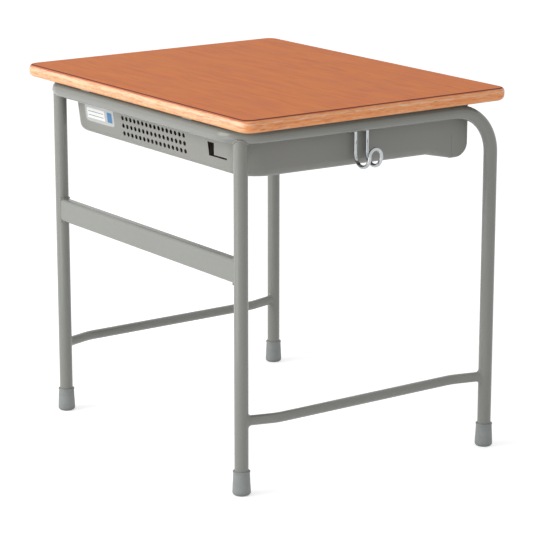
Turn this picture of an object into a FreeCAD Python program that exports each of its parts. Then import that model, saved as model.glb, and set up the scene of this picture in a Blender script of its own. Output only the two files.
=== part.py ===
"""School desk: a laminated top on a bent tube frame, with a sheet steel book box and two bag hooks.

Millimetres, +Z up. The origin is on the floor under the middle of the top. The pupil sits at -Y and
looks towards +Y, so +X is the pupil's right. Left and right in the names are the pupil's.
"""
import FreeCAD
import Part
import math
import os

V = FreeCAD.Vector

# Overall size
top_width = 650.0
top_depth = 510.0
desk_height = 600.0

# Writing top: laminate on a plywood core, with a backing sheet
laminate_thickness = 1.2
core_thickness = 18.6
backing_thickness = 1.2
top_corner_radius = 20.0
top_round_over = 7.0
top_lower_round = 8.5

# Bent frame tube: the pupil's legs, the side rails and the far rail in one length
tube_diameter = 22.2
tube_wall = 1.6
leg_bend_radius = 72.0
corner_bend_radius = 50.0
pupil_leg_inset = 26.0
pupil_leg_setback = 15.0
far_corner_inset = 45.5
far_rail_setback = 18.5

# Far legs, welded under the corner bends
leg_cope_drop = 3.0

# Cross bar between the far legs: a flat tube
cross_bar_height = 38.0
cross_bar_thickness = 16.0
cross_bar_wall = 1.4
cross_bar_corner = 4.0
cross_bar_level = 356.0

# Side stretchers: thin tubes with a step out at each end
stretcher_diameter = 15.9
stretcher_wall = 1.2
stretcher_level = 119.0
stretcher_step = 17.0
stretcher_far_lead = 56.0
stretcher_pupil_lead = 60.0
stretcher_bend_radius = 70.0

# Foot caps
foot_height = 39.0
foot_width = 29.5
foot_neck_width = 26.0
foot_lip_width = 27.4
foot_lip_height = 3.0
foot_lip_edge = 0.8
foot_base = 6.0
foot_edge_radius = 5.0
foot_fit = 0.05

# Plates welded on the rails, which carry the top
plate_thickness = 3.2
plate_width = 26.0
plate_end_radius = 8.0
plate_side_place = 110.0
plate_far_place = 150.0
plate_rail_overlap = 6.0

# Bolts through box flange and plate into threaded inserts in the core
bolt_diameter = 6.0
bolt_hole_clearance = 0.4
bolt_head_diameter = 11.5
bolt_head_height = 3.6
bolt_head_edge = 1.4
bolt_socket_width = 4.0
bolt_socket_depth = 2.0
bolt_reach = 10.0
insert_diameter = 9.0
insert_length = 12.5
insert_fit = 0.05

# Book box: bent sheet along the rails with a leaning far panel, open to the pupil
box_sheet = 0.8
box_side_gap = 9.0
box_far_setback = 38.0
box_mouth_setback = 43.0
box_depth = 81.0
box_far_slope = 11.0
box_corner_radius = 50.0
box_top_bend = 2.5
box_bottom_bend = 13.0
box_flange = 18.0
box_bolt_inset = 9.0
box_ledge = 8.0
cheek_length = 34.0
cheek_fade_length = 76.0
cheek_fade_height = 30.0
cheek_fade_inset = 0.3
cheek_fade_flange = 8.0
cheek_drop = 9.0
cheek_top_gap = 0.3
cheek_corner = 23.0
cheek_hem = 9.0
cheek_hem_bend = 5.0
lip_radius = 4.0
lip_inset = 24.0
lip_turn = 255.0

# Ventilation holes and the L-shaped cut in the far panel
vent_diameter = 7.6
vent_column_pitch = 12.0
vent_row_pitch = 12.8
vent_offset = -4.0
vent_columns = 16
vent_rows = 3
vent_lowest = 17.5
cut_place = 161.2
cut_width = 17.5
cut_foot_width = 13.8
cut_lowest = 22.6
cut_height = 22.4
slit_length = 35.0
slit_height = 2.8

# Bag hooks: plated wire, pivoting in brackets behind the side rails
wire_diameter = 6.0
hook_place = 2.3
hook_spread = 22.6
hook_drop = 40.6
hook_reach = 36.0
hook_arm_rise = 1.0
hook_bend_radius = 6.0
hook_stub = 8.0
pivot_inset = 13.9
pivot_drop = 8.6
pivot_clearance = 0.05
bracket_sheet = 2.0
bracket_ear_gap = 0.5
bracket_ear_reach = 5.5
bracket_inner_reach = 5.0

# Cuts run past the faces by this much, and shorter runs than this are left out of a path
overrun = 2.0
shortest_run = 0.001

# Places that follow from the sizes above
half_width = top_width / 2
half_depth = top_depth / 2
tube_radius = tube_diameter / 2
wire_radius = wire_diameter / 2
top_thickness = laminate_thickness + core_thickness + backing_thickness
top_underside = desk_height - top_thickness
rail_top = top_underside - plate_thickness
rail_level = rail_top - tube_radius
pupil_leg_x = half_width - pupil_leg_inset
pupil_leg_y = pupil_leg_setback - half_depth
rail_corner_x = half_width - far_corner_inset
rail_far_y = half_depth - far_rail_setback
box_far_y = half_depth - box_far_setback
box_mouth_y = box_mouth_setback - half_depth
box_bottom = rail_top - box_depth


def rail_x(y):
    """Centre of the right side rail at a given depth: the rails spread towards the pupil."""
    along = (y - pupil_leg_y) / (rail_far_y - pupil_leg_y)
    return pupil_leg_x + (rail_corner_x - pupil_leg_x) * along


def box_side_x(y):
    """Outer face of the box's right wall at a given depth: it runs along the rail."""
    return rail_x(y) - tube_radius - box_side_gap


def wall_x(y, level):
    """The same face at a level: the walls lean back with the far panel."""
    return box_side_x(y + box_far_slope * (rail_top - level) / box_depth)


def straight(start, end):
    """A straight run as a list of edges, empty where two bends meet."""
    if start.distanceToPoint(end) < shortest_run:
        return []
    return [Part.LineSegment(start, end).toShape()]


def bend(before, corner, after, radius):
    """The begin, middle and end points of the arc that rounds a corner."""
    into = (corner - before).normalize()
    away = (after - corner).normalize()
    half_turn = into.getAngle(away) / 2
    setback = radius * math.tan(half_turn)
    rise = radius / math.cos(half_turn) - radius
    middle = corner + (away - into).normalize() * rise
    return corner - into * setback, middle, corner + away * setback


def bent_path(points, radii):
    """Straight runs joined by tangent arcs, with one radius for each inner point."""
    edges = []
    start = points[0]
    for before, corner, after, radius in zip(points, points[1:], points[2:], radii):
        begin, middle, end = bend(before, corner, after, radius)
        edges += straight(start, begin)
        edges.append(Part.Arc(begin, middle, end).toShape())
        start = end
    edges += straight(start, points[-1])
    return Part.Wire(edges)


def rod(path, diameter):
    """A round solid along a path."""
    first = path.OrderedEdges[0]
    start = first.valueAt(first.FirstParameter)
    heading = first.tangentAt(first.FirstParameter)
    section = Part.Wire(Part.makeCircle(diameter / 2, start, heading))
    return path.makePipeShell([section], True, False)


def tube(path, diameter, wall):
    """A hollow round tube along a path."""
    return rod(path, diameter).cut(rod(path, diameter - 2 * wall))


def pillar(x, y, low, high, diameter):
    """An upright round solid."""
    return Part.makeCylinder(diameter / 2, high - low, V(x, y, low))


def slab(x_low, x_high, y_low, y_high, z_low, z_high):
    """A rectangular solid between two corners."""
    return Part.makeBox(x_high - x_low, y_high - y_low, z_high - z_low, V(x_low, y_low, z_low))


def round_upright_edges(solid, radius):
    """Rounds the upright edges of a rectangular solid."""
    upright = [e for e in solid.Edges if abs(e.tangentAt(e.FirstParameter).z) > 0.5]
    return solid.makeFillet(radius, upright)


def mirrored(shape):
    """The same piece on the other side of the desk."""
    return shape.mirror(V(0, 0, 0), V(1, 0, 0))


def frame_path():
    """Centre line of the bent tube, from the right pupil's foot round to the left one."""
    foot = V(pupil_leg_x, pupil_leg_y, foot_base)
    knee = V(pupil_leg_x, pupil_leg_y, rail_level)
    corner = V(rail_corner_x, rail_far_y, rail_level)
    right = [foot, knee, corner]
    left = [V(-p.x, p.y, p.z) for p in reversed(right)]
    radii = [leg_bend_radius, corner_bend_radius, corner_bend_radius, leg_bend_radius]
    return bent_path(right + left, radii)


def far_leg_place():
    """The far legs stand under the middle of the corner bends."""
    pupil = V(pupil_leg_x, pupil_leg_y, 0)
    corner = V(rail_corner_x, rail_far_y, 0)
    other = V(-rail_corner_x, rail_far_y, 0)
    middle = bend(pupil, corner, other, corner_bend_radius)[1]
    return middle.x, middle.y


far_leg_x, far_leg_y = far_leg_place()
frame_envelope = rod(frame_path(), tube_diameter)
far_leg_envelope = pillar(far_leg_x, far_leg_y, 0, rail_level, tube_diameter)
pupil_leg_envelope = pillar(pupil_leg_x, pupil_leg_y, 0, rail_level - leg_bend_radius, tube_diameter)


def bolt_places():
    """Plan places of the bolts: two on each side rail and two on the far rail."""
    far_y = box_far_y - box_bolt_inset
    side_ys = (plate_side_place, -plate_side_place)
    sides = [(sx * (box_side_x(y) - box_bolt_inset), y) for sx in (1, -1) for y in side_ys]
    return sides + [(sx * plate_far_place, far_y) for sx in (1, -1)]


def writing_top():
    """The rounded board, split into laminate, core and backing, with holes for the inserts."""
    board = slab(-half_width, half_width, -half_depth, half_depth, top_underside, desk_height)
    board = round_upright_edges(board, top_corner_radius)
    rim = [e for e in board.Edges if abs(e.BoundBox.ZMin - e.BoundBox.ZMax) < shortest_run]
    upper = [e for e in rim if e.BoundBox.ZMin > desk_height - shortest_run]
    board = board.makeFillet(top_round_over, upper)
    rim = [e for e in board.Edges if e.BoundBox.ZMax < top_underside + shortest_run]
    board = board.makeFillet(top_lower_round, rim)
    bore = insert_diameter + 2 * insert_fit
    for x, y in bolt_places():
        depth = top_underside + insert_length
        board = board.cut(pillar(x, y, top_underside - overrun, depth, bore))
    core_low = top_underside + backing_thickness
    core_high = desk_height - laminate_thickness
    levels = [top_underside, core_low, core_high, desk_height]
    layers = []
    for low, high in zip(levels, levels[1:]):
        layer = slab(-half_width, half_width, -half_depth, half_depth, low, high)
        layers.append(board.common(layer))
    return layers


def far_leg():
    """The right far leg, coped to sit under the corner bend."""
    top = rail_level - leg_cope_drop
    leg = pillar(far_leg_x, far_leg_y, foot_base, top, tube_diameter)
    bore = pillar(far_leg_x, far_leg_y, foot_base, top, tube_diameter - 2 * tube_wall)
    return leg.cut(bore).cut(frame_envelope)


def cross_bar():
    """Flat tube between the far legs, coped to them."""
    y_low = far_leg_y - cross_bar_thickness / 2
    z_low = cross_bar_level - cross_bar_height / 2
    bar = slab(-far_leg_x, far_leg_x, y_low, y_low + cross_bar_thickness, z_low, z_low + cross_bar_height)
    lengthwise = [e for e in bar.Edges if abs(e.tangentAt(e.FirstParameter).x) > 0.5]
    bar = bar.makeFillet(cross_bar_corner, lengthwise)
    w = cross_bar_wall
    bore = slab(-far_leg_x, far_leg_x, y_low + w, y_low + cross_bar_thickness - w,
                z_low + w, z_low + cross_bar_height - w)
    lengthwise = [e for e in bore.Edges if abs(e.tangentAt(e.FirstParameter).x) > 0.5]
    bore = bore.makeFillet(cross_bar_corner - w, lengthwise)
    return bar.cut(bore).cut(far_leg_envelope).cut(mirrored(far_leg_envelope))


def side_stretcher():
    """The right stretcher: it steps out from the far leg, runs along the side and steps out again."""
    run_x = far_leg_x + stretcher_step
    points = [V(far_leg_x, far_leg_y, stretcher_level),
              V(run_x, far_leg_y - stretcher_far_lead, stretcher_level),
              V(run_x, pupil_leg_y + stretcher_pupil_lead, stretcher_level),
              V(pupil_leg_x, pupil_leg_y, stretcher_level)]
    path = bent_path(points, [stretcher_bend_radius, stretcher_bend_radius])
    bar = tube(path, stretcher_diameter, stretcher_wall)
    return bar.cut(far_leg_envelope).cut(pupil_leg_envelope)


def foot_cap(x, y):
    """A flared cap with a lip at its mouth, pushed over the end of a leg."""
    foot_r = foot_width / 2
    neck_r = foot_neck_width / 2
    lip_r = foot_lip_width / 2
    bore_r = tube_radius + foot_fit
    lip_low = foot_height - foot_lip_height
    points = [V(0, 0, 0), V(foot_r, 0, 0), V(neck_r, 0, lip_low), V(lip_r, 0, lip_low + foot_lip_edge),
              V(lip_r, 0, foot_height), V(bore_r, 0, foot_height), V(bore_r, 0, foot_base),
              V(0, 0, foot_base), V(0, 0, 0)]
    radii = [foot_edge_radius, 0, 0, foot_lip_edge, 0, 0, 0]
    outline = rounded_outline(points, radii)
    cap = Part.Face(outline).revolve(V(0, 0, 0), V(0, 0, 1), 360)
    cap.translate(V(x, y, 0))
    return cap


def rounded_outline(points, radii):
    """Straight edges between points, with an arc at each inner point whose radius isn't zero."""
    edges = []
    start = points[0]
    for before, corner, after, radius in zip(points, points[1:], points[2:], radii):
        end = corner
        if radius > 0:
            begin, middle, end = bend(before, corner, after, radius)
            edges += straight(start, begin)
            edges.append(Part.Arc(begin, middle, end).toShape())
        else:
            edges += straight(start, corner)
        start = end
    edges += straight(start, points[-1])
    return Part.Wire(edges)


def top_plate(x, y, rail_dx, rail_dy):
    """A plate that lies on a rail and reaches inwards to its bolt, with a rounded end."""
    end_radius = plate_width / 2
    reach = math.hypot(rail_dx, rail_dy) + plate_rail_overlap
    plate = slab(-end_radius, reach, -end_radius, end_radius, rail_top, top_underside)
    inner = [e for e in plate.Edges if abs(e.tangentAt(e.FirstParameter).z) > 0.5 and e.BoundBox.XMax < 0]
    plate = plate.makeFillet(plate_end_radius, inner)
    plate = plate.cut(pillar(0, 0, rail_top - overrun, top_underside + overrun,
                             bolt_diameter + 2 * bolt_hole_clearance))
    plate.rotate(V(0, 0, 0), V(0, 0, 1), math.degrees(math.atan2(rail_dy, rail_dx)))
    plate.translate(V(x, y, 0))
    return plate


def top_plates():
    """All six plates."""
    plates = []
    for x, y in bolt_places()[:4]:
        rail = math.copysign(rail_x(y), x)
        plates.append(top_plate(x, y, rail - x, 0))
    for x, y in bolt_places()[4:]:
        plates.append(top_plate(x, y, 0, rail_far_y - y))
    return Part.makeCompound(plates)


def bolt(x, y):
    """A round-headed bolt with a hexagon socket, pointing up."""
    head_top = rail_top - box_sheet
    head_low = head_top - bolt_head_height
    head = pillar(x, y, head_low, head_top, bolt_head_diameter)
    rim = [e for e in head.Edges if e.BoundBox.ZMax < head_low + shortest_run]
    head = head.makeFillet(bolt_head_edge, rim)
    shank = pillar(x, y, head_top, top_underside + bolt_reach, bolt_diameter)
    middle = V(x, y, head_low - overrun)
    corner = bolt_socket_width / math.sqrt(3)
    angles = [math.radians(60 * i) for i in range(7)]
    hexagon = [middle + V(math.cos(a), math.sin(a), 0) * corner for a in angles]
    socket = Part.Face(Part.makePolygon(hexagon)).extrude(V(0, 0, overrun + bolt_socket_depth))
    return head.fuse(shank).removeSplitter().cut(socket)


def insert_nut(x, y):
    """A threaded insert, drawn with a plain bore."""
    body = pillar(x, y, top_underside, top_underside + insert_length, insert_diameter)
    return body.cut(pillar(x, y, top_underside - overrun, top_underside + insert_length + overrun,
                           bolt_diameter + 2 * insert_fit))


def box_outline(inset, level):
    """Plan outline of the box at a level, moved in by an inset but not at the mouth."""
    far = box_far_y - inset
    mouth = box_mouth_y - inset
    right = [V(0, mouth, level), V(box_side_x(mouth) - inset, mouth, level),
             V(box_side_x(far) - inset, far, level)]
    left = [V(-p.x, p.y, p.z) for p in reversed(right)]
    corner = max(box_corner_radius - inset, box_sheet)
    outline = rounded_outline(right + left, [0, corner, corner, 0])
    outline.translate(V(0, -box_far_slope * (rail_top - level) / box_depth, 0))
    return outline


def box_body(inset, top_bend, bottom_bend):
    """Solid shape of the box, moved in by an inset, with rounded upper and lower edges."""
    high = rail_top - inset
    low = box_bottom + inset
    lean = box_far_slope * (high - low) / box_depth
    body = Part.Face(box_outline(inset, high)).extrude(V(0, -lean, low - high))
    walls = [e for e in body.Edges if e.BoundBox.YMax > box_mouth_y + cheek_length]
    body = body.makeFillet(bottom_bend, [e for e in walls if e.BoundBox.ZMax < low + shortest_run])
    walls = [e for e in body.Edges if e.BoundBox.YMax > box_mouth_y + cheek_length]
    return body.makeFillet(top_bend, [e for e in walls if e.BoundBox.ZMin > high - shortest_run])


def sheet_opening(inset, level):
    """A block that opens the box's sheet at a level, leaving a margin along the walls."""
    block = Part.Face(box_outline(inset, level)).extrude(V(0, 0, 2 * overrun))
    block.translate(V(0, 0, -overrun))
    return block


def cheek_body(inset, past):
    """Block under the right cheek's skin, moved in by an inset and run past its open sides.

    Its front edge, lower corner and lower edge are round, on the outside of the box.
    """
    front = box_mouth_y + inset
    back = box_mouth_y + cheek_length + past
    low = box_bottom - cheek_drop + inset
    high = top_underside - cheek_top_gap + past
    side =[(back, high), (front, high), (front, low), (back, low), (back, high)]
    points = [V(wall_x(y, z) - inset, y, z) for y, z in side]
    face = Part.Face(rounded_outline(points, [0, cheek_corner - inset, 0]))
    block = face.extrude(V(-cheek_hem - past, 0, 0))
    rim = []
    for edge in block.Faces[-2].Edges + block.Faces[-1].Edges:
        middle = edge.CenterOfMass
        on_skin = abs(middle.x + inset - wall_x(middle.y, middle.z)) < cheek_hem / 2
        if on_skin and middle.y < back - shortest_run and middle.z < high - shortest_run:
            rim.append(edge)
    return block.makeFillet(cheek_hem_bend - inset, rim)


def wall_section(y, low, bend_radius, flange):
    """Section of the right wall's lower part at a depth: upright, bent in at a level, then level."""
    high = box_bottom + cheek_fade_height
    outer = cheek_fade_inset
    inner = cheek_fade_inset + box_sheet
    points = [V(wall_x(y, high) - outer, y, high), V(wall_x(y, low) - outer, y, low + outer),
              V(wall_x(y, low) - flange, y, low + outer), V(wall_x(y, low) - flange, y, low + inner),
              V(wall_x(y, low) - inner, y, low + inner), V(wall_x(y, high) - inner, y, high)]
    return rounded_outline(points + points[:1], [bend_radius - outer, 0, 0, bend_radius - inner, 0])


def cheek_fade():
    """Stretch of the right wall in which its lower bend tightens and drops to the cheek's hem."""
    start_low = box_bottom - 2 * cheek_fade_inset
    start = wall_section(box_mouth_y + cheek_fade_length, start_low, box_bottom_bend,
                         box_bottom_bend + cheek_fade_flange - box_sheet)
    end = wall_section(box_mouth_y + cheek_length, box_bottom - cheek_drop, cheek_hem_bend, cheek_fade_flange)
    return Part.makeLoft([start, end], True, True)


def box_wall():
    """The box's walls: flanged under the plates, ledged for the floor, with hemmed cheeks at the mouth."""
    wall = box_body(0, box_top_bend, box_bottom_bend)
    wall = wall.cut(box_body(box_sheet, box_top_bend - box_sheet, box_bottom_bend - box_sheet))
    wall = wall.cut(sheet_opening(box_flange, rail_top))
    wall = wall.cut(sheet_opening(box_bottom_bend + box_ledge, box_bottom))
    fade_high = box_bottom + cheek_fade_height
    for reach, high in ((cheek_length, rail_top + overrun), (cheek_fade_length, fade_high)):
        wall = wall.cut(slab(-half_width, half_width, -half_depth, box_mouth_y + reach,
                             box_bottom - overrun, high))
    cheek = cheek_body(0, 0).cut(cheek_body(box_sheet, overrun))
    fade = cheek_fade()
    wall = wall.fuse([cheek, fade, mirrored(cheek), mirrored(fade)]).removeSplitter()
    for x, y in bolt_places():
        hole = bolt_diameter + 2 * bolt_hole_clearance
        wall = wall.cut(pillar(x, y, rail_top - box_sheet - overrun, rail_top + overrun, hole))
    return wall.cut(far_panel_cuts())


def far_panel_cuts():
    """Ventilation holes in rows, and the L-shaped cut beside them."""
    start_y = box_far_y - box_far_slope - box_bottom_bend
    length = box_far_slope + box_bottom_bend + overrun
    cuts = []
    first_x = vent_offset - vent_column_pitch * (vent_columns - 1) / 2
    for row in range(vent_rows):
        for column in range(vent_columns):
            x = first_x + column * vent_column_pitch
            z = box_bottom + vent_lowest + row * vent_row_pitch
            place = V(x, start_y, z)
            cuts.append(Part.makeCylinder(vent_diameter / 2, length, place, V(0, 1, 0)))
    foot_x = -cut_place - cut_foot_width
    z_low = box_bottom + cut_lowest
    z_high = z_low + cut_height
    corners = [V(-cut_place, start_y, z_low), V(-cut_place, start_y, z_high),
               V(-cut_place - cut_width, start_y, z_high), V(foot_x, start_y, z_low),
               V(-cut_place, start_y, z_low)]
    cuts.append(Part.Face(Part.makePolygon(corners)).extrude(V(0, length, 0)))
    cuts.append(slab(foot_x - slit_length, foot_x + overrun, start_y, start_y + length,
                     z_low, z_low + slit_height))
    return Part.makeCompound(cuts)


def box_floor():
    """Floor sheet on the ledges of the walls, with its front edge rolled under."""
    low = box_bottom + box_sheet
    front = box_mouth_y + lip_inset + lip_radius
    start = math.radians(90)
    turn = math.radians(lip_turn)
    centre = V(0, front, low + box_sheet - lip_radius)

    def curl(radius, share):
        angle = start + turn * share
        return centre + V(0, math.cos(angle), math.sin(angle)) * radius

    inner_radius = lip_radius - box_sheet
    end_share = 1
    mid_share = 0.5
    outer_arc = Part.Arc(curl(lip_radius, 0), curl(lip_radius, mid_share), curl(lip_radius, end_share))
    inner_arc = Part.Arc(curl(inner_radius, end_share), curl(inner_radius, mid_share), curl(inner_radius, 0))
    top_far = V(0, box_far_y, low + box_sheet)
    low_far = V(0, box_far_y, low)
    edges = straight(top_far, curl(lip_radius, 0)) + [outer_arc.toShape()]
    edges += straight(curl(lip_radius, end_share), curl(inner_radius, end_share)) + [inner_arc.toShape()]
    edges += straight(curl(inner_radius, 0), low_far) + straight(low_far, top_far)
    section = Part.Face(Part.Wire(edges))
    section.translate(V(-half_width, 0, 0))
    sheet = section.extrude(V(top_width, 0, 0))
    plan = Part.Face(box_outline(box_bottom_bend, box_bottom)).extrude(V(0, 0, 2 * box_bottom_bend))
    plan.translate(V(0, 0, -box_bottom_bend))
    return sheet.common(plan)


def hook_pivot():
    """Pivot of the right hook, tucked in behind and below the middle of the side rail."""
    return V(rail_x(hook_place) - pivot_inset, hook_place, rail_level - pivot_drop)


def ear_face():
    """Distance from the middle of the hook to the inner face of a bracket ear."""
    return hook_spread / 2 + hook_bend_radius + bracket_ear_gap


def bag_hook():
    """The right hook: stub, leg, J, closed end, and back the same way on the other side."""
    pivot = hook_pivot()
    spread = hook_spread / 2
    stub_end = ear_face() + bracket_sheet + hook_stub - hook_bend_radius
    bend_radius = hook_reach / 2
    low = -hook_drop - bend_radius
    high = -hook_drop + hook_arm_rise + spread
    half = [V(0, stub_end, 0), V(0, spread, 0), V(0, spread, low),
            V(hook_reach, spread, low), V(hook_reach, spread, high)]
    points = half + [V(p.x, -p.y, p.z) for p in reversed(half)]
    radii = [hook_bend_radius, bend_radius, bend_radius, spread]
    path = bent_path([pivot + p for p in points], radii + radii[::-1])
    return rod(path, wire_diameter)


def hook_bracket():
    """The right bracket: a web welded to the rail, and two ears that hold the wire."""
    pivot = hook_pivot()
    inside = pivot.x - bracket_inner_reach
    outside = pivot.x + bracket_ear_reach
    ear_low = ear_face()
    ear_high = ear_low + bracket_sheet
    web_low = rail_level - bracket_sheet / 2
    web_high = web_low + bracket_sheet
    y = pivot.y
    web = slab(inside, rail_x(y), y - ear_high, y + ear_high, web_low, web_high)
    ears = []
    for low in (y + ear_low, y - ear_high):
        ears.append(slab(inside, outside, low, low + bracket_sheet, pivot.z - bracket_ear_reach, web_low))
    bracket = web.fuse(ears).removeSplitter()
    hole = wire_radius + pivot_clearance
    axis = V(pivot.x, y - ear_high - overrun, pivot.z)
    bracket = bracket.cut(Part.makeCylinder(hole, 2 * (ear_high + overrun), axis, V(0, 1, 0)))
    return bracket.cut(frame_envelope)


def build():
    """Every piece of the desk under its node name."""
    laminate = writing_top()
    pieces = {"top_backing": laminate[0], "top_core": laminate[1], "top_laminate": laminate[2]}
    pieces["frame_tube"] = tube(frame_path(), tube_diameter, tube_wall)
    pieces["cross_bar"] = cross_bar()
    for name, shape in (("far_leg", far_leg()), ("side_stretcher", side_stretcher()),
                        ("bag_hook", bag_hook()), ("hook_bracket", hook_bracket())):
        pieces[name + "_right"] = shape
        pieces[name + "_left"] = mirrored(shape)
    for name, x, y in (("far", far_leg_x, far_leg_y), ("pupil", pupil_leg_x, pupil_leg_y)):
        pieces["foot_cap_" + name + "_right"] = foot_cap(x, y)
        pieces["foot_cap_" + name + "_left"] = foot_cap(-x, y)
    pieces["top_plates"] = top_plates()
    pieces["top_bolts"] = Part.makeCompound([bolt(x, y) for x, y in bolt_places()])
    pieces["insert_nuts"] = Part.makeCompound([insert_nut(x, y) for x, y in bolt_places()])
    pieces["book_box_wall"] = box_wall()
    pieces["book_box_floor"] = box_floor()
    return pieces


os.makedirs("parts", exist_ok=True)
for node, shape in build().items():
    shape.exportStep("parts/" + node + ".step")
    print(node, len(shape.Solids), shape.isValid(), round(shape.Volume))
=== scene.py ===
import math
import bpy
import numpy as np
from mathutils import Matrix, Vector


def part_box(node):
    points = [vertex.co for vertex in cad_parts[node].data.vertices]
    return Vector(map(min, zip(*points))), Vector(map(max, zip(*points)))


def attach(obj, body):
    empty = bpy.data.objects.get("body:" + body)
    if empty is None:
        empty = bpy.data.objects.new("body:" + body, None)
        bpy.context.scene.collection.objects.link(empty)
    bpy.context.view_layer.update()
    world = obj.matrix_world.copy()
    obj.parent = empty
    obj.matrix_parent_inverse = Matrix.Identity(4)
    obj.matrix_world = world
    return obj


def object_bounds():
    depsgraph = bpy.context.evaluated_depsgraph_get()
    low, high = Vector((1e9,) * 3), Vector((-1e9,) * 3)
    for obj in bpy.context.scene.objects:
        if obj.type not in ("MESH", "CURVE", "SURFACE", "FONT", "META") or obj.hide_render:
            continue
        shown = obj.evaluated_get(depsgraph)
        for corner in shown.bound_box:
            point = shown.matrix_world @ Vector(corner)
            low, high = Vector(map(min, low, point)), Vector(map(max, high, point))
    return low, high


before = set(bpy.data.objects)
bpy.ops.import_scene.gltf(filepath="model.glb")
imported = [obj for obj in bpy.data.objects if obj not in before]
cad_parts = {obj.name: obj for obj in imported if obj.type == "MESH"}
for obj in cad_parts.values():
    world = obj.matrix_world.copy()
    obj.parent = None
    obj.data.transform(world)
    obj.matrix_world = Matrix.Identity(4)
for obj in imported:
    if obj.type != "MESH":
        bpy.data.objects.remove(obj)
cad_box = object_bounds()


# Frame: one bent steel tube makes the pupil's legs, the side rails and the far rail.
# The far legs, the flat cross bar, the stretchers, the plates under the top and the hook
# brackets are welded to it, and then the whole frame is coated in baked warm grey powder.

frame_grey = (0.283, 0.289, 0.264, 1)
frame_grey_thin = (0.260, 0.266, 0.243, 1)
frame_roughness = (0.17, 0.23)
cloud_share_of_tone = 0.4
peel_depth = 0.00004
noise_span = (0.3, 0.7)


def add_node(tree, kind, inputs=None, **settings):
    """Adds a shader node. inputs maps a socket's name or number to a value or to another socket."""
    made = tree.nodes.new("ShaderNode" + kind)
    for name, value in settings.items():
        setattr(made, name, value)
    for socket, value in (inputs or {}).items():
        if isinstance(value, bpy.types.NodeSocket):
            tree.links.new(value, made.inputs[socket])
        else:
            made.inputs[socket].default_value = value
    return made


def reckon(tree, operation, *values):
    """One sum on shader values."""
    return add_node(tree, "Math", dict(enumerate(values)), operation=operation).outputs[0]


def ease(tree, value, span, low=0.0, high=1.0):
    """Goes smoothly from low to high while value crosses the span, and stays there outside."""
    start, end = span
    inputs = {"Value": value, "From Min": start, "From Max": end, "To Min": low, "To Max": high}
    return add_node(tree, "MapRange", inputs, interpolation_type="SMOOTHSTEP").outputs["Result"]


def blend_colours(tree, share, low, high):
    """The colour that goes from low to high while share goes from 0 to 1."""
    return add_node(tree, "Mix", {0: share, 6: low, 7: high}, data_type="RGBA").outputs[2]


def grains(tree, place, per_metre, detail=2.0):
    """Noise from 0 to 1 with the given number of grains per metre along X, Y and Z."""
    scaled = add_node(tree, "VectorMath", {0: place, 1: per_metre}, operation="MULTIPLY").outputs[0]
    return add_node(tree, "TexNoise", {"Vector": scaled, "Scale": 1.0, "Detail": detail}).outputs[0]


def new_group(name, inputs, outputs):
    """A shader node group with the named sockets: its tree, what comes in and what goes out."""
    tree = bpy.data.node_groups.new(name, "ShaderNodeTree")
    for way, sockets in (("INPUT", inputs), ("OUTPUT", outputs)):
        for socket, kind in sockets.items():
            tree.interface.new_socket(socket, in_out=way, socket_type="NodeSocket" + kind)
    given = tree.nodes.new("NodeGroupInput").outputs
    return tree, given, tree.nodes.new("NodeGroupOutput").inputs


def new_finish(name):
    """A material with its node tree, its shader and its place on the piece in metres."""
    finish = bpy.data.materials.new(name)
    finish.use_nodes = True
    tree = finish.node_tree
    place = add_node(tree, "TexCoord").outputs["Object"]
    return finish, tree, tree.nodes["Principled BSDF"].inputs, place


def colour_surface(tree, shader, colour):
    """Gives the surface a colour that changes from place to place."""
    tree.links.new(colour, shader["Base Color"])


def roughen(tree, shader, noise, roughness, span=noise_span):
    """Lets the roughness wander between two values with a noise."""
    tree.links.new(ease(tree, noise, span, *roughness), shader["Roughness"])


def raise_surface(tree, shader, height, depth):
    """Gives the surface a relief: height from 0 to 1 stands for depth metres."""
    bump = add_node(tree, "Bump", {"Height": height, "Strength": 1.0, "Distance": depth})
    tree.links.new(bump.outputs["Normal"], shader["Normal"])


def coat(finish, *names):
    """Puts a finish on nodes of the frame."""
    for name in names:
        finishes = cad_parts[name].data.materials
        finishes.clear()
        finishes.append(finish)


def powder_skin():
    """Group: baked powder. Its tone wanders in clouds and specks, over fine orange peel."""
    tree, given, out = new_group(
        "powder_skin",
        {"Place": "Vector", "Colour": "Color", "Thin colour": "Color"},
        {"Colour": "Color", "Specks": "Float", "Height": "Float"})
    clouds = grains(tree, given["Place"], (5, 5, 5))
    specks = grains(tree, given["Place"], (900, 900, 900))
    peel = grains(tree, given["Place"], (420, 420, 420), 3.0)
    tone = reckon(tree, "ADD",
                  reckon(tree, "MULTIPLY", clouds, cloud_share_of_tone),
                  reckon(tree, "MULTIPLY", specks, 1 - cloud_share_of_tone))
    thickness = ease(tree, tone, noise_span)
    colour = blend_colours(tree, thickness, given["Thin colour"], given["Colour"])
    tree.links.new(colour, out["Colour"])
    tree.links.new(specks, out["Specks"])
    tree.links.new(peel, out["Height"])
    return tree


def powder_coat(name, colour, thin_colour, roughness):
    """A finish of powder coat in one colour, a little off where the coat is thinner."""
    finish, tree, shader, place = new_finish(name)
    inputs = {"Place": place, "Colour": colour, "Thin colour": thin_colour}
    skin = add_node(tree, "Group", inputs, node_tree=powder).outputs
    colour_surface(tree, shader, skin["Colour"])
    roughen(tree, shader, skin["Specks"], roughness)
    raise_surface(tree, shader, skin["Height"], peel_depth)
    return finish


powder = powder_skin()
frame_paint = powder_coat("frame_paint", frame_grey, frame_grey_thin, frame_roughness)
coat(frame_paint, "frame_tube", "far_leg_right", "far_leg_left", "cross_bar", "top_plates",
     "side_stretcher_right", "side_stretcher_left", "hook_bracket_right", "hook_bracket_left")


# Welds: a bead of steel is run round each joint of the tubes before the frame is coated.
# It fills the corner between the two pieces and keeps the small ripples of the torch.

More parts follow.
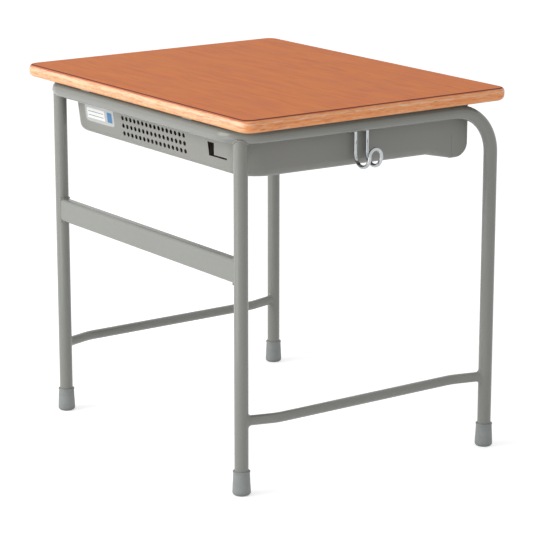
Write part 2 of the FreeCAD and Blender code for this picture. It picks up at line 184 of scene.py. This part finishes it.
weld_steps = 144
around = np.linspace(0, 2 * np.pi, weld_steps, endpoint=False)
leg_low, leg_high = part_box("far_leg_right")
frame_low, frame_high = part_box("frame_tube")
tube_radius = (leg_high.x - leg_low.x) / 2
far_leg = np.array([leg_low.x + tube_radius, leg_low.y + tube_radius])
pupil_leg = np.array([frame_high.x - tube_radius, frame_low.y + tube_radius])
rail_level = frame_high.z - tube_radius


def ring_quads(rows, columns, closed=True):
    """Quads between neighbours on a grid: each row is a ring, and if closed, so is each column."""
    number = np.arange(rows * columns).reshape(rows, columns)
    beside = np.roll(number, -1, axis=1)
    next_row = np.roll(number, -1, axis=0)
    quads = np.stack([number, beside, np.roll(beside, -1, axis=0), next_row], axis=-1)
    return (quads if closed else quads[:-1]).reshape(-1, 4)


def bead(path, thickness, ripples):
    """A closed weld bead, as places and quads.

    Circles stand square to a closed path. Their radius is half the thickness, and it swells and
    sinks a little along the path, once for each ripple.
    """
    steps = len(path)
    ring = 12
    swelling = 0.12
    ahead = np.roll(path, -1, axis=0) - np.roll(path, 1, axis=0)
    ahead /= np.linalg.norm(ahead, axis=1, keepdims=True)
    side = np.cross(ahead, path - path.mean(axis=0))
    side /= np.linalg.norm(side, axis=1, keepdims=True)
    lift = np.cross(side, ahead)
    turn = np.linspace(0, 2 * np.pi, ring, endpoint=False)[None, :, None]
    wave = np.sin(2 * np.pi * ripples * np.arange(steps) / steps)
    radius = (thickness / 2 * (1 + swelling * wave))[:, None, None]
    circle = np.cos(turn) * lift[:, None] + np.sin(turn) * side[:, None]
    places = path[:, None] + radius * circle
    return places.reshape(-1, 3), ring_quads(steps, ring)


def add_piece(name, surfaces, finish):
    """One smooth mesh of surfaces, each given as places and faces, that rides on the desk."""
    starts = np.cumsum([0] + [len(places) for places, faces in surfaces])
    places = np.concatenate([places for places, faces in surfaces])
    faces = np.concatenate([faces + start for (_, faces), start in zip(surfaces, starts)])
    mesh = bpy.data.meshes.new(name)
    mesh.from_pydata(places.tolist(), [], faces.tolist())
    mesh.polygons.foreach_set("use_smooth", np.ones(len(faces), dtype=bool))
    mesh.materials.append(finish)
    made = bpy.data.objects.new(name, mesh)
    bpy.context.scene.collection.objects.link(made)
    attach(made, "desk")


def beads_on_both_sides(path, thickness, ripples):
    """A bead along a path on the right of the desk, and the same on the left."""
    return [bead(path * (way, 1, 1), thickness, ripples) for way in (1, -1)]


# The far leg's top edge: it rises where the leg's wall runs up beside the bent rail.
corner_bend_radius = 0.050
seam_highest = rail_level - 0.0045
leg_bead = 0.0032
leg_ripples = 26
bend_middle = far_leg - corner_bend_radius * math.sqrt(0.5)
leg_outline = far_leg + tube_radius * np.column_stack([np.cos(around), np.sin(around)])
off_rail = np.linalg.norm(leg_outline - bend_middle, axis=1) - corner_bend_radius
under_rail = rail_level - np.sqrt(np.clip(tube_radius ** 2 - off_rail ** 2, 0, None))
leg_seam = np.column_stack([leg_outline, np.minimum(under_rail, seam_highest)])
add_piece("welds_far_legs", beads_on_both_sides(leg_seam, leg_bead, leg_ripples),
          frame_paint)

# The cross bar's end: a rectangle bent round the leg, heavy above and below, thin on the faces.
bar_bead_on_faces = 0.0012
bar_bead_more_at_ends = 0.0034
bar_ends_from = 0.8
bar_ripples = 30
bar_low, bar_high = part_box("cross_bar")
bar_half = np.array([bar_high.y - bar_low.y, bar_high.z - bar_low.z]) / 2
bar_middle = np.array([bar_high.y + bar_low.y, bar_high.z + bar_low.z]) / 2
bar_corners = np.array([(-1, -1), (1, -1), (1, 1), (-1, 1), (-1, -1)]) * bar_half
run = np.concatenate([[0], np.cumsum(np.linalg.norm(np.diff(bar_corners, axis=0), axis=1))])
stops = np.linspace(0, run[-1], weld_steps, endpoint=False)
across = np.interp(stops, run, bar_corners[:, 0])
up = np.interp(stops, run, bar_corners[:, 1])
bar_seam = np.column_stack([far_leg[0] - np.sqrt(tube_radius ** 2 - across ** 2),
                            bar_middle[0] + across, bar_middle[1] + up])
near_end = (np.abs(up) / bar_half[1] - bar_ends_from) / (1 - bar_ends_from)
bar_bead = bar_bead_on_faces + bar_bead_more_at_ends * np.clip(near_end, 0, 1)
add_piece("welds_cross_bar", beads_on_both_sides(bar_seam, bar_bead, bar_ripples),
          frame_paint)

# The stretcher's ends: a hollow fillet runs round the thin tube where it meets the leg.
stretcher_low, stretcher_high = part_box("side_stretcher_right")
stretcher_radius = (stretcher_high.z - stretcher_low.z) / 2
stretcher_level = stretcher_low.z + stretcher_radius
stretcher_step = 0.017
far_lead = 0.056
pupil_lead = 0.060
fillet_reach = 0.0060
fillet_side_reach = 0.0024
fillet_ripple = 0.06
fillet_ripples = 20
fillet_sink = 0.0006
fillet_shares = np.array([0, 0.03, 0.12, 0.25, 0.375, 0.5, 0.625, 0.75, 0.88, 0.97, 1])


def fillet(leg, heading, way):
    """A closed weld fillet round a level thin tube that heads away from a leg's axis.

    On each line round the tube a quadratic curve runs from the leg's wall to the tube's wall, drawn
    towards the seam between them, and a point sunk behind the seam closes the ring. It reaches
    furthest above and below the tube. A way of -1 gives the same on the other side of the desk.
    """
    heading = heading / np.linalg.norm(heading)
    sideways = np.array([-heading[1], heading[0]])
    along = np.append(heading, 0.0)

    def on_wall(distance):
        """Places on the leg's wall at a distance from the thin tube's axis, all round it."""
        beside_axis = distance * np.cos(around)
        out = np.sqrt(tube_radius ** 2 - beside_axis ** 2)
        plan = leg + out[:, None] * heading + beside_axis[:, None] * sideways
        return np.column_stack([plan, stretcher_level + distance * np.sin(around)])

    widening = (fillet_reach - fillet_side_reach) * np.sin(around) ** 2
    ripple = 1 + fillet_ripple * np.sin(fillet_ripples * around)
    reach = (fillet_side_reach + widening) * ripple
    seam = on_wall(stretcher_radius)
    start = on_wall(stretcher_radius + reach)
    end = seam + reach[:, None] * along
    sunk = on_wall(stretcher_radius - fillet_sink) - fillet_sink * along
    share = fillet_shares[None, :, None]
    rest = 1 - share
    curve = (rest ** 2 * start[:, None] + 2 * share * rest * seam[:, None]
             + share ** 2 * end[:, None])
    places = np.concatenate([curve, sunk[:, None]], axis=1) * (way, 1, 1)
    quads = ring_quads(*places.shape[:2])
    return places.reshape(-1, 3), quads[:, ::-way]


far_heading = np.array([stretcher_step, -far_lead])
pupil_heading = np.array([far_leg[0] + stretcher_step - pupil_leg[0], pupil_lead])
fillets = [fillet(leg, heading, way)
           for leg, heading in ((far_leg, far_heading), (pupil_leg, pupil_heading))
           for way in (1, -1)]
add_piece("welds_stretchers", fillets, frame_paint)


# Foot caps: soft grey plastic, moulded in one shot and pushed over the cut ends of the legs.
# They keep the tube off the floor and grip it, and only friction holds them.

foot_grey_dark = (0.276, 0.294, 0.292, 1)
foot_grey_pale = (0.320, 0.338, 0.333, 1)
foot_low_dark = (0.20, 0.21, 0.21, 1)
foot_low_dark_height = 0.008
foot_roughness = (0.50, 0.62)
foot_grain_depth = 0.00004

foot_plastic, tree, shader, place = new_finish("foot_plastic")
mottle = grains(tree, place, (60, 60, 60))
height_above_floor = add_node(tree, "SeparateXYZ", {0: place}).outputs["Z"]
# The caps are darker towards the bottom, within the lowest 8 mm above the floor.
above_low_dark = ease(tree, height_above_floor, (0.0, foot_low_dark_height))
foot_colour = blend_colours(tree, ease(tree, mottle, noise_span), foot_grey_dark, foot_grey_pale)
colour_surface(tree, shader, blend_colours(tree, above_low_dark, foot_low_dark, foot_colour))
roughen(tree, shader, mottle, foot_roughness, (0.2, 0.8))
raise_surface(tree, shader, grains(tree, place, (1500, 1500, 1500)), foot_grain_depth)
coat(foot_plastic, "foot_cap_far_right", "foot_cap_far_left",
     "foot_cap_pupil_right", "foot_cap_pupil_left")


# Book box: two bent steel sheets. One makes the three walls with their vents, flange and hems,
# the other is the floor with its rolled front edge, spot-welded on the ledges of the walls.
# It is coated in the same grey powder and hangs on the bolts of the top.

box_grey = (0.292, 0.290, 0.268, 1)
box_grey_thin = (0.272, 0.270, 0.249, 1)
box_roughness = (0.40, 0.50)
box_paint = powder_coat("box_paint", box_grey, box_grey_thin, box_roughness)
coat(box_paint, "book_box_wall", "book_box_floor")


# Sticker: a silver film with a white writing field, stuck on the far panel beside the vents.
# It is printed with plain blocks and rules, die-cut with round corners and as thin as foil,
# and its upper edge is behind the rail.

panel_top_y = 0.2170
panel_top_level = 0.5758
panel_slope = 0.011 / 0.081
sticker_middle = np.array([0.1585, 0.533])
sticker_half = np.array([0.0445, 0.016])
sticker_thickness = 0.00018
corner_power = 0.22
print_blur = 0.0001
silver_dark = (0.46, 0.47, 0.46, 1)
silver_pale = (0.56, 0.57, 0.56, 1)
silver_roughness = (0.30, 0.42)
paper_white = (0.84, 0.85, 0.84, 1)
rule_black = (0.10, 0.10, 0.10, 1)
block_blue = (0.035, 0.180, 0.380, 1)


def far_panel(level):
    """Depth of the far panel's outer face at a level: it leans in towards its lower edge."""
    return panel_top_y - panel_slope * (panel_top_level - level)


def film():
    """Sticker: a rounded rectangle, whose sides are powers of a sine and a cosine, on the panel.

    Rings rise from the outline on the panel to the flat face. Strips from the upper to the lower
    half of the last ring close the face, and strips across the outline close the back.
    """
    points = 96
    turn = (np.arange(points) + 0.5) * 2 * np.pi / points
    wave = np.column_stack([-np.cos(turn), np.sin(turn)])
    outline = np.sign(wave) * np.abs(wave) ** corner_power
    shares = np.array([1.0, 0.996, 0.985, 0.975])
    rises = np.array([0.0, 0.7, 1.0, 1.0]) * sticker_thickness
    plan = sticker_middle + shares[:, None, None] * outline * sticker_half
    depth = far_panel(plan[..., 1]) + rises[:, None]
    places = np.stack([plan[..., 0], depth, plan[..., 1]], axis=-1).reshape(-1, 3)
    rim = ring_quads(shares.size, points, closed=False)
    above = np.arange(points // 2 - 1)
    below = points - 1 - above
    back = np.column_stack([above, above + 1, below - 1, below])
    face = back + (shares.size - 1) * points
    return places, np.concatenate([rim, face, back[:, ::-1]])


sticker_film, tree, shader, place = new_finish("sticker_film")
along = add_node(tree, "SeparateXYZ", {0: place}).outputs
brushed = grains(tree, place, (40, 40, 2500))
sticker_colour = blend_colours(tree, ease(tree, brushed, noise_span), silver_dark, silver_pale)
for middle, half, ink in (
        ((0.1700, 0.5315), (0.0270, 0.0085), paper_white),
        ((0.1700, 0.5345), (0.0235, 0.0005), rule_black),
        ((0.1700, 0.5280), (0.0235, 0.0005), rule_black),
        ((0.1270, 0.5315), (0.0075, 0.0085), block_blue)):
    within = []
    for axis, middle_here, half_here in zip("XZ", middle, half):
        off_middle = reckon(tree, "ABSOLUTE", reckon(tree, "SUBTRACT", along[axis], middle_here))
        within.append(ease(tree, off_middle, (half_here + print_blur, half_here - print_blur)))
    printed = reckon(tree, "MULTIPLY", *within)
    sticker_colour = blend_colours(tree, printed, sticker_colour, ink)
colour_surface(tree, shader, sticker_colour)
roughen(tree, shader, brushed, silver_roughness)
add_piece("sticker", [film()], sticker_film)


# Bag hooks: one length of steel wire each, bent to a double J with a closed end and plated bright.
# Their ends turn in the bracket's ears behind the side rail.

wire_dark = (0.40, 0.42, 0.44, 1)
wire_pale = (0.52, 0.545, 0.56, 1)
wire_roughness = (0.05, 0.10)

plated_wire, tree, shader, place = new_finish("plated_wire")
haze = grains(tree, place, (240, 240, 240))
colour_surface(tree, shader, blend_colours(tree, haze, wire_dark, wire_pale))
shader["Metallic"].default_value = 1.0
roughen(tree, shader, haze, wire_roughness)
coat(plated_wire, "bag_hook_right", "bag_hook_left")


# Fasteners: zinc-plated socket bolts go up through the box flange and the plates
# into threaded inserts that are pressed into the underside of the core.

zinc_dark = (0.45, 0.46, 0.47, 1)
zinc_pale = (0.62, 0.63, 0.63, 1)
zinc_roughness = (0.28, 0.45)

zinc_steel, tree, shader, place = new_finish("zinc_steel")
patches = grains(tree, place, (500, 500, 500))
colour_surface(tree, shader, blend_colours(tree, patches, zinc_dark, zinc_pale))
shader["Metallic"].default_value = 1.0
roughen(tree, shader, patches, zinc_roughness)
coat(zinc_steel, "top_bolts", "insert_nuts")


# Writing top: a plywood core pressed between a printed laminate above and a plain backing below.
# Its edges are rounded over and lacquered, so that the cut laminate shows as a thin dark line,
# the stained face veneer as a red band and the plies below it as pale and tan streaks.

top_level = cad_box[1].z
core_low, core_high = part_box("top_core")
core_thickness = core_high.z - core_low.z


def wood_fibres():
    """Group: long wood fibres. Two noises, drawn out along the grain, give streaks and pores."""
    tree, given, out = new_group("wood_fibres", {"Along grain": "Vector"},
                                 {"Streaks": "Float", "Pores": "Float"})
    tree.links.new(grains(tree, given["Along grain"], (1, 1, 1), 4.0), out["Streaks"])
    tree.links.new(grains(tree, given["Along grain"], (2.5, 1.5, 1.5), 3.0), out["Pores"])
    return tree


def fibres(tree, place, per_metre):
    """The streaks and pores of one layer, with its own count per metre along X, Y and Z."""
    scaled = add_node(tree, "VectorMath", {0: place, 1: per_metre}, operation="MULTIPLY").outputs[0]
    layer = add_node(tree, "Group", {"Along grain": scaled}, node_tree=wood).outputs
    return layer["Streaks"], layer["Pores"]


wood = wood_fibres()

# The laminate: a printed wood grain, brown paper where its edge is cut.
print_red = (0.690, 0.202, 0.074, 1)
print_orange = (0.745, 0.237, 0.071, 1)
print_streak = (0.820, 0.263, 0.087, 1)
print_pore = (0.57, 0.160, 0.059, 1)
cut_brown = (0.115, 0.045, 0.045, 1)
cut_levels = (top_level - 0.00040, top_level - 0.00015)
laminate_roughness = (0.46, 0.54)
laminate_specular = 0.03
laminate_pore_depth = 0.00002

laminate, tree, shader, place = new_finish("laminate")
streaks, pores = fibres(tree, place, (7, 90, 7))
clouds = grains(tree, place, (10, 24, 10))
printed = blend_colours(tree, ease(tree, clouds, noise_span), print_red, print_orange)
printed = blend_colours(tree, ease(tree, streaks, (0.40, 0.70), 0, 0.7), printed, print_streak)
printed = blend_colours(tree, ease(tree, pores, (0.53, 0.72), 0, 0.4), printed, print_pore)
level = add_node(tree, "SeparateXYZ", {0: place}).outputs["Z"]
cut_through = ease(tree, level, cut_levels, 1, 0)
colour_surface(tree, shader, blend_colours(tree, cut_through, printed, cut_brown))
roughen(tree, shader, streaks, laminate_roughness)
raise_surface(tree, shader, pores, laminate_pore_depth)
shader["Specular IOR Level"].default_value = laminate_specular
coat(laminate, "top_laminate")

# The core's edge: the plies by their height in the core, redder where end grain shows at the sides.
ply_stops = [
    (0.00, (0.90, 0.360, 0.120, 1)),
    (0.20, (0.95, 0.460, 0.190, 1)),
    (0.31, (0.95, 0.540, 0.270, 1)),
    (0.36, (0.84, 0.430, 0.235, 1)),
    (0.50, (0.88, 0.470, 0.260, 1)),
    (0.55, (0.95, 0.560, 0.320, 1)),
    (0.66, (0.97, 0.640, 0.390, 1)),
    (0.76, (0.97, 0.620, 0.370, 1)),
    (0.84, (0.94, 0.500, 0.260, 1))]
ply_wander = 0.07
end_grain_red = (1.0, 0.350, 0.105, 1)
streak_on_long_edge = (0.66, 0.250, 0.120, 1)
streak_on_side_edge = (0.80, 0.215, 0.055, 1)
pale_pore = (1.0, 0.680, 0.440, 1)
crest_pale = (1.0, 0.660, 0.430, 1)
crest_height = 0.74
knot_brown = (0.12, 0.045, 0.022, 1)
stain_red = (0.62, 0.150, 0.065, 1)
stain_on_long_edge = top_level - 0.0033
stain_on_side_edge = top_level - 0.0026
stain_wander = 0.0004
stain_fade = 0.0008
edge_roughness = (0.34, 0.46)
edge_specular = 0.4
edge_pore_depth = 0.00004


def ramp(tree, value, stops):
    """Colours laid along a value: stops are pairs of a value from 0 to 1 and a colour."""
    made = add_node(tree, "ValToRGB", {0: value})
    marks = made.color_ramp.elements
    for mark, (position, colour) in zip(marks, (stops[0], stops[-1])):
        mark.position = position
        mark.color = colour
    for position, colour in stops[1:-1]:
        marks.new(position).color = colour
    return made.outputs["Color"]


plywood, tree, shader, place = new_finish("plywood")
level = add_node(tree, "SeparateXYZ", {0: place}).outputs["Z"]
normal = add_node(tree, "NewGeometry").outputs["Normal"]
facing_x = add_node(tree, "SeparateXYZ", {0: normal}).outputs["X"]
on_side_edge = ease(tree, reckon(tree, "ABSOLUTE", facing_x), (0.4, 0.8))
streaks, pores = fibres(tree, place, (45, 45, 480))
wander = grains(tree, place, (16, 16, 60), 3.0)
knots = grains(tree, place, (38, 38, 420), 1.0)

up_core = reckon(tree, "DIVIDE", reckon(tree, "SUBTRACT", level, core_low.z), core_thickness)
wandered = reckon(tree, "ADD", up_core, ease(tree, wander, (0.25, 0.75), -ply_wander, ply_wander))
ply = ramp(tree, wandered, ply_stops)
end_grain = reckon(tree, "MULTIPLY", on_side_edge, ease(tree, wandered, (0.60, 0.70), 0.85, 0.6))
ply = blend_colours(tree, end_grain, ply, end_grain_red)
streak_colour = blend_colours(tree, on_side_edge, streak_on_long_edge, streak_on_side_edge)
ply = blend_colours(tree, ease(tree, streaks, (0.36, 0.52), 0.65, 0), ply, streak_colour)
ply = blend_colours(tree, ease(tree, pores, (0.50, 0.68), 0, 0.6), ply, pale_pore)
off_crest = reckon(tree, "ABSOLUTE", reckon(tree, "SUBTRACT", wandered, crest_height))
crest = reckon(tree, "MULTIPLY", ease(tree, off_crest, (0.07, 0.02)),
               ease(tree, pores, (0.40, 0.60), 0.10, 0.80))
ply = blend_colours(tree, crest, ply, crest_pale)
ply = blend_colours(tree, ease(tree, knots, (0.74, 0.80), 0, 0.8), ply, knot_brown)
stain_low = reckon(tree, "ADD", ease(tree, wander, noise_span, -stain_wander, stain_wander),
                   ease(tree, on_side_edge, (0.0, 1.0), stain_on_long_edge, stain_on_side_edge))
stained = ease(tree, reckon(tree, "SUBTRACT", level, stain_low), (0.0, stain_fade))
colour_surface(tree, shader, blend_colours(tree, stained, ply, stain_red))
roughen(tree, shader, pores, edge_roughness)
raise_surface(tree, shader, pores, edge_pore_depth)
shader["Specular IOR Level"].default_value = edge_specular
coat(plywood, "top_core")

# The backing: brown paper with the fibres of the sheet it balances.
backing_dark = (0.33, 0.215, 0.130, 1)
backing_pale = (0.43, 0.29, 0.185, 1)
backing_roughness = (0.55, 0.70)
backing_pore_depth = 0.00004

backing, tree, shader, place = new_finish("backing")
streaks, pores = fibres(tree, place, (8, 90, 8))
colour_surface(tree, shader, blend_colours(tree, streaks, backing_dark, backing_pale))
roughen(tree, shader, pores, backing_roughness)
raise_surface(tree, shader, pores, backing_pore_depth)
coat(backing, "top_backing")


# Studio: a pale floor under a plain sky that is dimmer behind the pupil's left. A broad soft lamp
# stands on the far panel's side, and a low one shines up from the floor before it. Floor and sky
# are white to the camera and in reflections, and the floor keeps the desk's shadow.

floor_half_side = 20.0
floor_pale = (0.92, 0.92, 0.92, 1)
floor_white = 0.50
white = (1, 1, 1, 1)
sky_bright_side = 0.69
sky_dim_side = 0.50
dim_side = (-0.58, -0.81, 0.0)


def flat_square(name, half_side, height):
    """A square sheet: its four corners at plus and minus half a side."""
    corners = np.array([(-1, -1), (1, -1), (1, 1), (-1, 1)]) * half_side
    places = np.column_stack([corners, np.full(len(corners), height)])
    mesh = bpy.data.meshes.new(name)
    mesh.from_pydata(places.tolist(), [], [(0, 1, 2, 3)])
    made = bpy.data.objects.new(name, mesh)
    bpy.context.scene.collection.objects.link(made)
    return made


def plainly_seen(tree):
    """1 where the camera sees a thing straight, in a reflection or through glass, 0 for light."""
    path = add_node(tree, "LightPath").outputs
    straight_or_mirrored = reckon(tree, "MAXIMUM", path["Is Camera Ray"], path["Is Glossy Ray"])
    return reckon(tree, "MAXIMUM", straight_or_mirrored, path["Is Transmission Ray"])


def soft_lamp(name, place, aim, width, length, power):
    """A rectangular lamp that shines from a place towards an aim and isn't seen by the camera."""
    lamp = bpy.data.lights.new(name, "AREA")
    lamp.shape = "RECTANGLE"
    lamp.size = width
    lamp.size_y = length
    lamp.energy = power
    holder = bpy.data.objects.new(name, lamp)
    holder.location = place
    holder.rotation_mode = "QUATERNION"
    holder.rotation_quaternion = (Vector(aim) - Vector(place)).to_track_quat("-Z", "Y")
    holder.visible_camera = False
    bpy.context.scene.collection.objects.link(holder)


floor = flat_square("floor", floor_half_side, 0.0)
floor_paint, tree, shader, _ = new_finish("floor_paint")
shader["Base Color"].default_value = floor_pale
shader["Roughness"].default_value = 0.9
shader["Specular IOR Level"].default_value = 0.0
shader["Emission Color"].default_value = white
glow = reckon(tree, "MULTIPLY", plainly_seen(tree), floor_white)
tree.links.new(glow, shader["Emission Strength"])
floor.data.materials.append(floor_paint)

world = bpy.data.worlds.new("sky")
bpy.context.scene.world = world
world.use_nodes = True
tree = world.node_tree
sky = tree.nodes["Background"].inputs
sky["Color"].default_value = white
towards = add_node(tree, "TexCoord").outputs["Generated"]
to_dim_side = add_node(tree, "VectorMath", {0: towards, 1: dim_side}, operation="DOT_PRODUCT")
sky_light = ease(tree, to_dim_side.outputs["Value"], (-1.0, 1.0), sky_bright_side, sky_dim_side)
tree.links.new(ease(tree, plainly_seen(tree), (0.0, 1.0), sky_light, 1.0), sky["Strength"])

soft_lamp("key_lamp", place=(0.9, 3.4, 1.8), aim=(0.0, 0.0, 0.35),
          width=2.4, length=2.4, power=68.0)
soft_lamp("low_lamp", place=(-0.15, 1.70, 0.01), aim=(-0.15, 1.70, 1.0),
          width=0.7, length=1.5, power=5.0)


# Camera: a long lens that stands off the far corner on the pupil's left, a little above the top.
# Its angle, its distance and the lens were fitted to the desk's edges in the photograph.

view_azimuth = math.radians(234.75)
view_elevation = math.radians(14.23)
view_distance = 3.94913
view_sideways = 0.01047
view_upwards = 0.26852
sensor_width = 36.0
focal_length = 157.29

away = Vector((math.sin(view_azimuth) * math.cos(view_elevation),
               -math.cos(view_azimuth) * math.cos(view_elevation),
               math.sin(view_elevation)))
rightwards = Vector((math.cos(view_azimuth), math.sin(view_azimuth), 0.0))
upwards = away.cross(rightwards)
lens = bpy.data.cameras.new("camera")
lens.sensor_fit = "HORIZONTAL"
lens.sensor_width = sensor_width
lens.lens = focal_length
camera = bpy.data.objects.new("camera", lens)
turned = Matrix((rightwards, upwards, away)).transposed().to_4x4()
camera.matrix_world = Matrix.Translation(
    away * view_distance + rightwards * view_sideways + upwards * view_upwards) @ turned
bpy.context.scene.collection.objects.link(camera)
bpy.context.scene.camera = camera
bpy.context.scene.view_settings.view_transform = "Standard"
